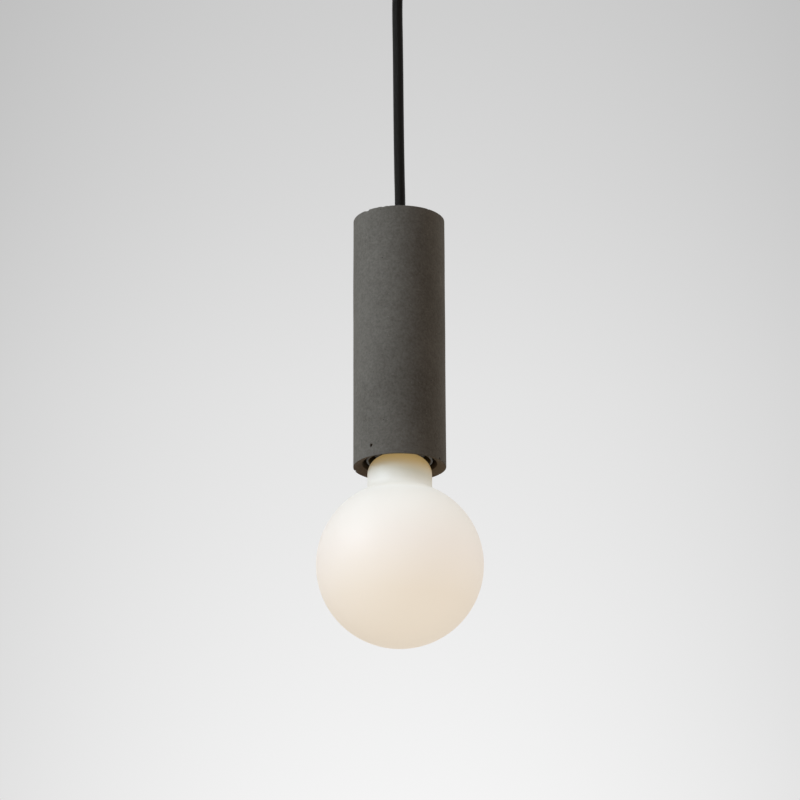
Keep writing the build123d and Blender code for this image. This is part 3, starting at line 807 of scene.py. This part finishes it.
def rim_chip(grid, angle, height, upward, width, depth):
    """Chip out of a rim of the body: a ball on the corner's diagonal, whose bite has a width and a depth.
    Its radius is (width^2 / 4 + depth^2) / (2 depth)."""
    outward = outward_at(angle)
    diagonal = (outward + upward * UP) / math.sqrt(2)
    corner = body_radius * outward + height * UP
    ball = (width**2 / 4 + depth**2) / (2 * depth)
    worn = body_edge * (math.sqrt(2) - 1)
    return scooped(grid, corner + diagonal * (ball - depth - worn), ball)


# Chips in the rims: angle in degrees, width, depth
top_chips = ((225.0, 5.4, 1.2), (227.6, 2.2, 1.4), (241.0, 1.8, 0.3), (249.6, 3.6, 0.7), (256.9, 2.2, 0.4),
             (75.0, 2.4, 0.5), (310.0, 1.6, 0.3), (140.0, 2.8, 0.5))
bottom_chips = ((165.4, 4.6, 1.5), (30.0, 2.2, 0.4), (118.0, 3.0, 0.5), (312.0, 1.8, 0.3))

# Air holes in the outer face: angle, height above the lower rim, width, depth
wall_pits = ((232.7, 8.5, 2.3, 1.6), (237.7, 7.9, 1.0, 0.3), (224.5, 4.4, 0.9, 0.3), (228.0, 4.6, 0.9, 0.3),
             (328.2, 1.0, 1.8, 1.6), (95.0, 10.2, 1.6, 1.0), (8.0, 6.5, 1.3, 0.7))

# Air holes in the mouth's cone: angle, distance from the axis, width, depth
mouth_pits = ((336.0, 33.0, 1.3, 0.6), (344.0, 32.0, 1.2, 0.5), (200.0, 31.5, 1.3, 0.5),
              (60.0, 31.0, 1.5, 0.7))

# Unevenness of the body: depth, waves round the axis, rise over which a wave turns by a radian, start
body_waves = ((0.06, 2, 31, 3.7), (-0.05, 3, -47, 0.0), (0.03, 7, 13, 2.0), (0.02, 11, -9, 0.0))


def body_angles():
    """Columns of the body, in steps of 1.5 degrees, and finer within 3.6 degrees of each mark."""
    marks = [mark[0] for group in (top_chips, bottom_chips, wall_pits, mouth_pits) for mark in group]
    close = [mark + np.linspace(-3.6, 3.6, 17) for mark in marks]
    degrees = np.concatenate([np.arange(0, 360, 1.5), *close]) % 360
    return np.radians(np.unique(np.round(degrees, 1)))


def concrete_tube():
    """Body: a turned outline with rounded rims and a cone at its mouth, chips in its rims and air holes in
    its faces. Its slight unevenness is a sum of waves, depth * cos(count * a + z / rise + start)."""
    lip = body_radius - body_edge - mouth_lip
    corners = [(body_radius, body_bottom, body_edge), (body_radius, body_bottom + foot_marks, 0),
               (body_radius, body_top - head_marks, 0), (body_radius, body_top, body_edge),
               (body_radius - head_marks, body_top, 0), (recess_radius, body_top, 0.5),
               (recess_radius, recess_floor, 0.6), (rod_hole, recess_floor, 0.3),
               (rod_hole, roof_under, 0.3), (body_bore, roof_under, 2.0),
               (body_bore, body_bottom + mouth_rise, 0.5), (lip, body_bottom, 0.4)]
    outline = rounded(corners)
    radius, height = run_middles(outline).T
    foot = (radius > body_bore - 0.1) & (height < body_bottom + foot_marks)
    head = (radius > body_radius - head_marks - 0.1) & (height > body_top - head_marks)
    fine_step, wide_step = 0.45, 9.0
    grid = turned(divided(outline, np.where(foot | head, fine_step, wide_step)), body_angles())
    angle = bearing(grid)
    height = grid[..., 2]
    uneven = sum(depth * np.cos(count * angle + height / rise + start)
                 for depth, count, rise, start in body_waves)
    grid = pushed(grid, uneven)
    for chips, rim, upward in ((top_chips, body_top, 1), (bottom_chips, body_bottom, -1)):
        for at, width, depth in chips:
            grid = rim_chip(grid, at, rim, upward, width, depth)
    for at, rise, width, depth in wall_pits:
        outward = outward_at(at)
        grid = pitted(grid, body_radius * outward + (body_bottom + rise) * UP, outward, width, depth)
    slope = mouth_rise / (lip - body_bore)
    for at, reach, width, depth in mouth_pits:
        outward = outward_at(at)
        spot = outward * reach + (body_bottom + (lip - reach) * slope) * UP
        grid = pitted(grid, spot, -slope * outward - UP, width, depth)
    place(skin("concrete_tube", grid), "concrete_body")


concrete_tube()


# Bulb

def opal_globe():
    """Globe, fillet, neck and shoulder in one turned outline: arcs that touch each other, from the lowest
    point up to the cap's rim, closed inside the cap. With radii R of the globe, f of the fillet and n of the
    neck, the fillet's centre is n + f from the axis and sqrt((R + f)^2 - (n + f)^2) above the globe's."""
    reach = neck_radius + neck_fillet
    rise = math.sqrt((globe_radius + neck_fillet)**2 - reach**2)
    lean = math.atan2(reach, rise)
    neck_low = globe_centre + rise
    shoulder_centre = neck_radius - shoulder_radius
    mouth = cap_radius - cap_wall - cap_room
    neck_top = cap_rim - math.sqrt(shoulder_radius**2 - (cap_radius - shoulder_centre)**2)
    shoulder_end = math.asin((mouth - shoulder_centre) / shoulder_radius)
    outline = np.concatenate([
        arc((0, globe_centre), globe_radius, math.pi, lean, 110),
        arc((reach, neck_low), neck_fillet, math.pi + lean, 1.5 * math.pi, 14)[1:],
        arc((shoulder_centre, neck_top), shoulder_radius, math.pi / 2, shoulder_end, 40),
        [(0, cap_rim + glass_end)],
    ])
    outline[0, 0] = 0
    place(skin("opal_globe", turned(outline, even_angles(192)), sharp=60.0), "bulb_globe")


def screw_cap():
    """Bulb's screw cap: a thin sleeve with a plain collar, a right-hand thread and a cone to its tip. The
    thread adds depth * cos(2 pi z / pitch - a) to the radius, fading out at both ends. Nine dents in the
    collar take off deep * (cos(9 a) - edge) * exp(-((z - middle) / tall)^2), where that is above 0."""
    sleeve_top = cap_rim + cap_sleeve
    collar_top = cap_rim + cap_collar
    thread_low = cap_rim + cap_step
    inside = thread_radius - cap_wall
    corners = [(cap_radius, cap_rim, 0.1), (cap_radius, collar_top, 1.0), (thread_radius, thread_low, 1.0),
               (thread_radius, sleeve_top, 1.5), (tip_radius, cap_top, 0.2),
               (tip_radius - cap_wall, cap_top, 0.1), (inside, sleeve_top - 0.2, 1.2),
               (inside, thread_low, 0.6), (cap_radius - cap_wall, collar_top, 0.6),
               (cap_radius - cap_wall, cap_rim, 0.1)]
    grid = lathed(corners, step=0.3, columns=160, arc_points=5)
    height = grid[..., 2]
    share = faded(height, thread_low - 0.2, sleeve_top, rise=1.8, fall=2.0)
    grid = threaded(grid, thread_depth, thread_pitch, share)
    deep, edge, middle, tall = 1.1, 0.72, cap_rim + 2.2, 0.6
    dent = np.cos(9 * bearing(grid)).clip(edge, 1) - edge
    grid = pushed(grid, -deep * dent * np.exp(-((height - middle) / tall)**2))
    place(skin("screw_cap", grid, sharp=60.0), "bulb_cap")


def cap_tip():
    """Black glass insulator, a cone, and on it the domed solder contact, a quarter of an ellipse turned."""
    low, high = span("bulb_cap_insulator")
    button = highest("bulb_contact")
    corners = [(0, low, 0), (tip_radius, low, 0.25), (button[0], high, 0.4), (0, high, 0)]
    outline = divided(rounded(corners, 5), 0.6, False)
    place(skin("cap_insulator", turned(outline, even_angles(72))), "bulb_cap_insulator")
    dome = arc((0, high), (button[0], button[2] - high), 0, math.pi / 2, 14)
    outline = np.concatenate([dome, [(0, high)]])
    place(skin("solder_contact", turned(outline, even_angles(64)), sharp=60.0), "bulb_contact")


opal_globe()
screw_cap()
cap_tip()


# Lampholder

def lampholder_parts():
    """Skirt, insert and dome of the lampholder: turned outlines with rounded rims."""
    bore = skirt_radius - skirt_wall
    flange_low = insert_top - insert_flange
    ledge = bore - ledge_width
    ledge_low = flange_low - ledge_height
    skirt = [(skirt_radius, skirt_rim, 0.9), (skirt_radius, skirt_top, 1.0), (bore, skirt_top, 0.4),
             (bore, flange_low, 0.2), (ledge, flange_low, 0.3), (ledge, ledge_low, 0.3),
             (bore, ledge_low, 0.4), (bore, skirt_rim, 0.9)]
    turned_piece("lampholder_ring", "lampholder_skirt", skirt, step=2.5, columns=160)
    well = insert_top - well_depth
    insert = [(insert_bore, insert_low, 0.8), (insert_radius, insert_low, 1.0),
              (insert_radius, flange_low, 0.3), (dome_radius, flange_low, 0.4),
              (dome_radius, insert_top, 0.4), (well_hole, insert_top, 0.2), (well_hole, well, 0.2),
              (well_radius, well, 0.5), (well_radius, shell_top, 0.4), (insert_bore, shell_top, 0.4)]
    turned_piece("lampholder_core", "lampholder_insert", insert, step=3.0, columns=128, arc_points=5)
    inside = dome_radius - dome_wall
    roof = dome_top - dome_wall
    dome = [(dome_radius, insert_top, 0.4), (dome_radius, dome_top, 4.0), (dome_neck_radius, dome_top, 0.8),
            (dome_neck_radius, dome_neck, 0.8), (rod_passage, dome_neck, 0.3), (rod_passage, roof, 0.3),
            (inside, roof, 2.5), (inside, insert_top, 0.4)]
    turned_piece("lampholder_cover", "lampholder_dome", dome, step=3.0, columns=128, arc_points=7)


def thread_shell():
    """Thread shell of the lampholder: a thin tube whose wall follows the thread of the bulb's cap."""
    inside = thread_radius + thread_room
    outside = inside + shell_wall
    edge = 0.15
    corners = [(outside, shell_low, edge), (outside, shell_top, edge), (inside, shell_top, edge),
               (inside, shell_low, edge)]
    grid = lathed(corners, step=0.35, columns=128, arc_points=4)
    share = faded(grid[..., 2], shell_low, shell_top, rise=2.0, fall=2.0)
    grid = threaded(grid, thread_depth, thread_pitch, share)
    place(skin("thread_shell", grid, sharp=60.0), "screw_shell")


lampholder_parts()
thread_shell()


# Rod, nuts, washers and bush

def hexagon_nut(name, node, hole):
    """Hexagon nut: at angle a its side is at flat / cos(a - 30 degrees), with a taken within 60 degrees,
    and a cone that rises 1 in sqrt(3) cuts its corners at both ends. The hole has a lead at both ends."""
    flat = highest(node)[1]
    low, high = span(node)
    lead = 0.4
    angle = even_angles(180)
    side = flat / np.cos(angle % (TURN / 6) - TURN / 12)
    bevel = np.linspace(0, 0.1 * flat, 6)
    rise = np.concatenate([bevel, high - low - bevel[::-1]])
    cone = flat + math.sqrt(3) * np.minimum(rise, high - low - rise)
    inner = np.array([hole, hole + lead])[:, None] * np.ones_like(angle)
    radius = np.concatenate([inner, np.minimum(side, cone[:, None]), inner[::-1]])
    height = np.concatenate([[low + lead, low], low + rise, [high, high - lead]])[:, None]
    place(skin(name, about_axis(radius, angle, height), sharp=25.0), node)


def washer(name, node, hole, rounding):
    """Flat ring with rounded edges."""
    low, high = span(node)
    rim = highest(node)[0]
    corners = [(rim, low, rounding), (rim, high, rounding), (hole, high, rounding), (hole, low, rounding)]
    turned_piece(name, node, corners, step=1.5, columns=96, arc_points=5)


def threaded_tube():
    """Hollow rod with a fine thread on its outside, which adds depth * cos(2 pi z / pitch - a)."""
    low, high = span("threaded_rod")
    depth, pitch = 0.18, 1.0
    fine_step, wide_step = 0.17, 9.0
    face = rod_radius - 0.2
    thread_floor = rod_radius - 0.3
    outline = rounded([(face, low, 0.2), (face, high, 0.2), (rod_bore, high, 0.2), (rod_bore, low, 0.2)], 3)
    outer_run = run_middles(outline)[:, 0] > thread_floor
    grid = turned(divided(outline, np.where(outer_run, fine_step, wide_step)), even_angles(48))
    outer = from_axis(grid) > thread_floor
    place(skin("threaded_tube", threaded(grid, depth, pitch, outer), sharp=60.0), "threaded_rod")


def bush():
    """Plastic bush round the cord: a flange with a full round edge and a mouth that opens a little."""
    hole = cord_radius + crown_swell
    corners = [(bush_radius, bush_low, 0.2), (bush_radius, bush_top, 1.2), (hole, bush_top, 0.6),
               (hole, bush_low, 0.2)]
    turned_piece("bush", "cord_bush", corners, step=0.6, columns=96, arc_points=8)


hexagon_nut("roof_nut", "under_nut", rod_passage)
hexagon_nut("gland_nut", "gland_locknut", gland_passage)
washer("soft_washer", "rubber_washer", rod_passage, 0.5)
washer("flat_washer", "steel_washer", rod_passage, 0.3)
threaded_tube()
bush()


# Ceiling end

def canopy():
    """Drawn steel cup: a round edge at its floor, a softened rim and a hole for the gland."""
    inside = canopy_radius - canopy_wall
    floor_top = canopy_floor + canopy_wall
    corners = [(canopy_radius, 0, 0.4), (canopy_radius, canopy_floor, canopy_edge),
               (gland_passage, canopy_floor, 0.2), (gland_passage, floor_top, 0.2),
               (inside, floor_top, canopy_edge - canopy_wall), (inside, 0, 0.4)]
    turned_piece("canopy", "canopy_cup", corners, step=2.0, columns=256, arc_points=10)


def gland():
    """Cord gland: a threaded spigot, a flange, a fluted cone and a bell mouth. Sixteen flutes take off
    flute_depth * cos(16 a), where that is above 0, and the spigot's thread adds
    thread_height * cos(2 pi z / pitch - a)."""
    thread_height, pitch, flute_depth = 0.2, 1.5, 0.45
    flange_low = canopy_floor - gland_flange_height
    throat_top = pivot + gland_throat_height
    face = gland_thread - thread_height
    corners = [(gland_bore, gland_top, 0.3), (face, gland_top, 0.5), (face, canopy_floor, 0),
               (gland_flange, canopy_floor, 0.5), (gland_flange, flange_low, 1.6),
               (gland_lip, gland_mouth, 0.7), (gland_bell, gland_mouth, 0.7), (gland_throat, pivot, 1.0),
               (gland_throat, throat_top, 0.1), (gland_bore, throat_top, 0.1)]
    grid = lathed(corners, step=0.35, columns=192, arc_points=7)
    radius = from_axis(grid)
    height = grid[..., 2]
    cone = faded(height, gland_mouth + 1, flange_low - 1, rise=3.0, fall=3.0) * (radius > gland_lip - 0.6)
    spigot = (radius > gland_bore + 1) * smooth(canopy_floor + 0.8, canopy_floor + 1.4, height)
    flutes = cone * np.cos(16 * bearing(grid)).clip(0, 1)
    grid = pushed(threaded(grid, thread_height, pitch, spigot), -flute_depth * flutes)
    place(skin("gland", grid, sharp=60.0), "gland_body")


def slotted_head(radius, height, slot, depth, crown):
    """Screw head with a straight slot, in slices across X. A slice runs to y = sqrt(radius^2 - x^2) on both
    sides. Its top is at height - crown * (x^2 + y^2) / radius^2, lower by the slot's depth inside the slot,
    and its foot at 0. The slices at the slot's walls come twice, and the end slices close to a point."""
    half = slot / 2
    even = radius * np.cos(np.linspace(math.pi, 0, 33))
    left = even[even < -half - 0.02]
    right = even[even > half + 0.02]
    x = np.concatenate([left, [-half, -half, half, half], right])
    sunk = np.zeros(len(x))
    sunk[len(left) + 1:len(left) + 3] = depth
    y = np.sqrt(np.maximum(radius**2 - x**2, 0))[:, None] * np.linspace(-1, 1, 17)
    top = height - crown * (x[:, None]**2 + y**2) / radius**2 - sunk[:, None]
    x = np.repeat(x[:, None], y.shape[1], axis=1)
    foot = np.stack([x, y, np.zeros_like(y)], axis=-1)
    grid = np.concatenate([np.stack([x, y, top], axis=-1), foot[:, ::-1]], axis=1)
    first, last = (np.repeat(row.mean(axis=0)[None, None], grid.shape[1], axis=1) for row in grid[[0, -1]])
    return np.concatenate([first, grid, last])


def shank(radius, length):
    """Screw shank below 0, with a thread that adds depth * cos(2 pi z / pitch - a) and fades out towards its
    tip."""
    depth, pitch = 0.12, 0.7
    face = radius - 0.1
    outline = rounded([(0, -length, 0), (face, -length, 0.35), (face, 0, 0), (0, 0, 0)], 4)
    grid = turned(divided(outline, 0.14, False), even_angles(32))
    share = smooth(-length, -length + 0.8, grid[..., 2]) * (from_axis(grid) > 0.6 * radius)
    return threaded(grid, depth, pitch, share)


def slotted_screws(name, node, screws, head_radius, head, shank_radius, length, slot=1.0, crown=0.5):
    """Slotted screws, each from the foot of its head along its outward direction, as one piece."""
    slot_depth = 0.55 * head
    grids = []
    for spot, direction in screws:
        top = slotted_head(head_radius, head, slot, slot_depth, crown)
        grids += [facing(grid, spot, direction) for grid in (top, shank(shank_radius, length))]
    place(skin(name, *grids, sharp=30.0), node)


def screws():
    """Slotted screws: through the canopy's side, in the gland, the bracket and the terminal block."""
    down = (0, 0, -1)
    side = sum(span("canopy_screws")) / 2
    spots = [((way * canopy_radius, 0, side), (way, 0, 0)) for way in (-1, 1)]
    slotted_screws("side_screws", "canopy_screws", spots, head_radius=3.6, head=2.2, shank_radius=2.0,
                   length=6.3, crown=0.7)
    low = lowest("gland_screw")
    radius, head = 1.6, 1.0
    spots = [((0, low[1] + head, low[2] + radius), (0, -1, 0))]
    slotted_screws("grip_screw", "gland_screw", spots, radius, head, radius, length=8.1, slot=0.6,
                   crown=0.15)
    low, high = lowest("earth_screw"), highest("earth_screw")
    head = 2.4
    spots = [(((low[0] + high[0]) / 2, 0, low[2] + head), down)]
    slotted_screws("bracket_earth_screw", "earth_screw", spots, head_radius=3.4, head=head,
                   shank_radius=2.0, length=-low[2] - head, crown=0.6)
    low = lowest("terminal_block_screw")
    head = 1.6
    slotted_screws("block_screw", "terminal_block_screw", [((0, 0, low[2] + head), down)], head_radius=2.4,
                   head=head, shank_radius=1.4, length=-low[2] - head, slot=0.8, crown=0.4)
    low, high = lowest("terminal_screws"), highest("terminal_screws")
    radius, head = 1.4, 1.0
    spots = [((x, y, low[2] + head), down) for x in (low[0] + radius, high[0] - radius)
             for y in (low[1] + radius, high[1] - radius)]
    slotted_screws("clamp_screws", "terminal_screws", spots, radius, head, radius,
                   length=high[2] - low[2] - head, slot=0.6, crown=0.1)


def softened(name, node, width):
    """Copy of a solid whose flat faces are joined and whose edges get a bevel of a width."""
    mesh = nodes[node].data.copy()
    welded(mesh, reach=0.001, flat=1.0)
    piece = finished_mesh(name, mesh, 35.0)
    bevel = piece.modifiers.new("edges", "BEVEL")
    bevel.width = width * MM
    bevel.segments = 2
    bevel.limit_method = "ANGLE"
    bevel.angle_limit = math.radians(40)
    place(piece, node)


canopy()
gland()
screws()
softened("bracket", "ceiling_bracket", 0.3)
softened("connector", "terminal_block", 0.5)
softened("slotted_nut", "ring_nut", 0.35)
softened("earth_eye", "earth_tag", 0.15)


# Camera, fitted to the outlines in the photograph

camera_distance = 2574.0
camera_pitch = math.radians(19.0)
camera_roll = math.radians(-0.166)
focal_length = 3402.0        # in pixels of the photograph
frame_width = 800.0          # in pixels of the photograph
sensor_width = 36.0
aim = np.array([0.39, 0, body_bottom + 53.72])


def photo_camera():
    """Camera on a line below the lamp that looks up at the pitch angle. Its axes are right = cos(roll) X +
    sin(roll) U and up = cos(roll) U - sin(roll) X, where U leans back from Z by the pitch."""
    forward = np.array([0, math.cos(camera_pitch), math.sin(camera_pitch)])
    level_up = np.array([0, -math.sin(camera_pitch), math.cos(camera_pitch)])
    level_right = np.array([1.0, 0, 0])
    right = math.cos(camera_roll) * level_right + math.sin(camera_roll) * level_up
    up = math.cos(camera_roll) * level_up - math.sin(camera_roll) * level_right
    eye = (aim - camera_distance * forward) * MM
    data = bpy.data.cameras.new("photo_camera")
    data.sensor_width = sensor_width
    data.lens = focal_length / frame_width * sensor_width
    camera = bpy.data.objects.new("photo_camera", data)
    scene.collection.objects.link(camera)
    rows = np.stack([right, up, -forward, eye], axis=1).tolist()
    camera.matrix_world = Matrix([*rows, (0, 0, 0, 1)])
    scene.camera = camera


photo_camera()


# Light and surroundings, in metres

lamp_middle = Vector((0, 0, -0.42))
floor_radius = 14.0
floor_height = -3.6


def window_light(name, spot, size, energy, colour):
    """Square soft light that faces the middle of the lamp."""
    data = bpy.data.lights.new(name, "AREA")
    data.shape = "SQUARE"
    data.size = size
    data.energy = energy
    data.color = colour
    light = bpy.data.objects.new(name, data)
    scene.collection.objects.link(light)
    light.location = spot
    light.rotation_mode = "QUATERNION"
    light.rotation_quaternion = (lamp_middle - light.location).to_track_quat("-Z", "Y")


def studio_world():
    """Soft room light that is stronger from behind on the right. The camera and the reflections see a pale
    backdrop instead, which brightens downwards and fades a little to the sides."""
    world = bpy.data.worlds.new("studio")
    scene.world = world
    world.use_nodes = True
    world.node_tree.nodes.clear()
    sky = Wiring(world.node_tree)
    direction = sky.node("ShaderNodeTexCoord").outputs["Generated"]
    parts = sky.parts(direction)
    band = sky.ramp(parts["Z"], (0.0, grey(0.93)), (0.214, grey(0.905)), (0.269, grey(0.847)),
                    (0.326, grey(0.783)), (0.38, grey(0.694)), (0.432, grey(0.624)), (0.7, grey(0.5)))
    aside = sky.maths("ABSOLUTE", sky.maths("SUBTRACT", parts["X"], 0.004))
    loss = sky.maths("MULTIPLY", sky.maths("POWER", aside, 2.0), 10.8)
    fade = sky.maths("SUBTRACT", 1.0, sky.maths("MINIMUM", loss, 0.2))
    backdrop = sky.node("ShaderNodeBackground", _0=band, _1=fade)
    behind = sky.vector("DOT_PRODUCT", direction, (0.57, 0.82, 0.0))["Value"]
    room = sky.ramp(behind, (0.0, (0.246, 0.216, 0.192)), (0.7, (1.03, 1.04, 1.0)))
    ambient = sky.node("ShaderNodeBackground", _0=room, _1=1.1)
    seen = sky.in_sight()
    blend = sky.node("ShaderNodeMixShader", _0=seen, _1=ambient.outputs[0], _2=backdrop.outputs[0])
    sky.node("ShaderNodeOutputWorld", _0=blend.outputs[0])


def pale_floor():
    """Round pale floor, far below the lamp. It looks pale, in reflections too, but throws little light back
    up at the lamp."""
    finish = Finish("floor", (0.8, 0.8, 0.79), 0.8)
    seen = finish.in_sight()
    pale = finish.ramp(finish.noise(400.0), (0.3, (0.78, 0.78, 0.77)), (0.7, (0.82, 0.82, 0.81)))
    finish.use("Base Color", finish.mix(seen, grey(0.1), pale))
    finish.surface.inputs["Emission Color"].default_value = (1, 1, 1, 1)
    finish.use("Emission Strength", finish.maths("MULTIPLY", seen, 0.35))
    rim = about_axis(floor_radius, even_angles(96), floor_height)
    mesh = bpy.data.meshes.new("floor")
    mesh.from_pydata(rim.tolist(), [], [list(range(len(rim)))])
    mesh.materials.append(finish.material)
    floor = bpy.data.objects.new("floor", mesh)
    scene.collection.objects.link(floor)


window_light("left_window", spot=(-2.2, -1.27, 0.76), size=1.6, energy=89.0, colour=(0.707, 0.857, 1.0))
studio_world()
pale_floor()
scene.view_settings.view_transform = "Standard"
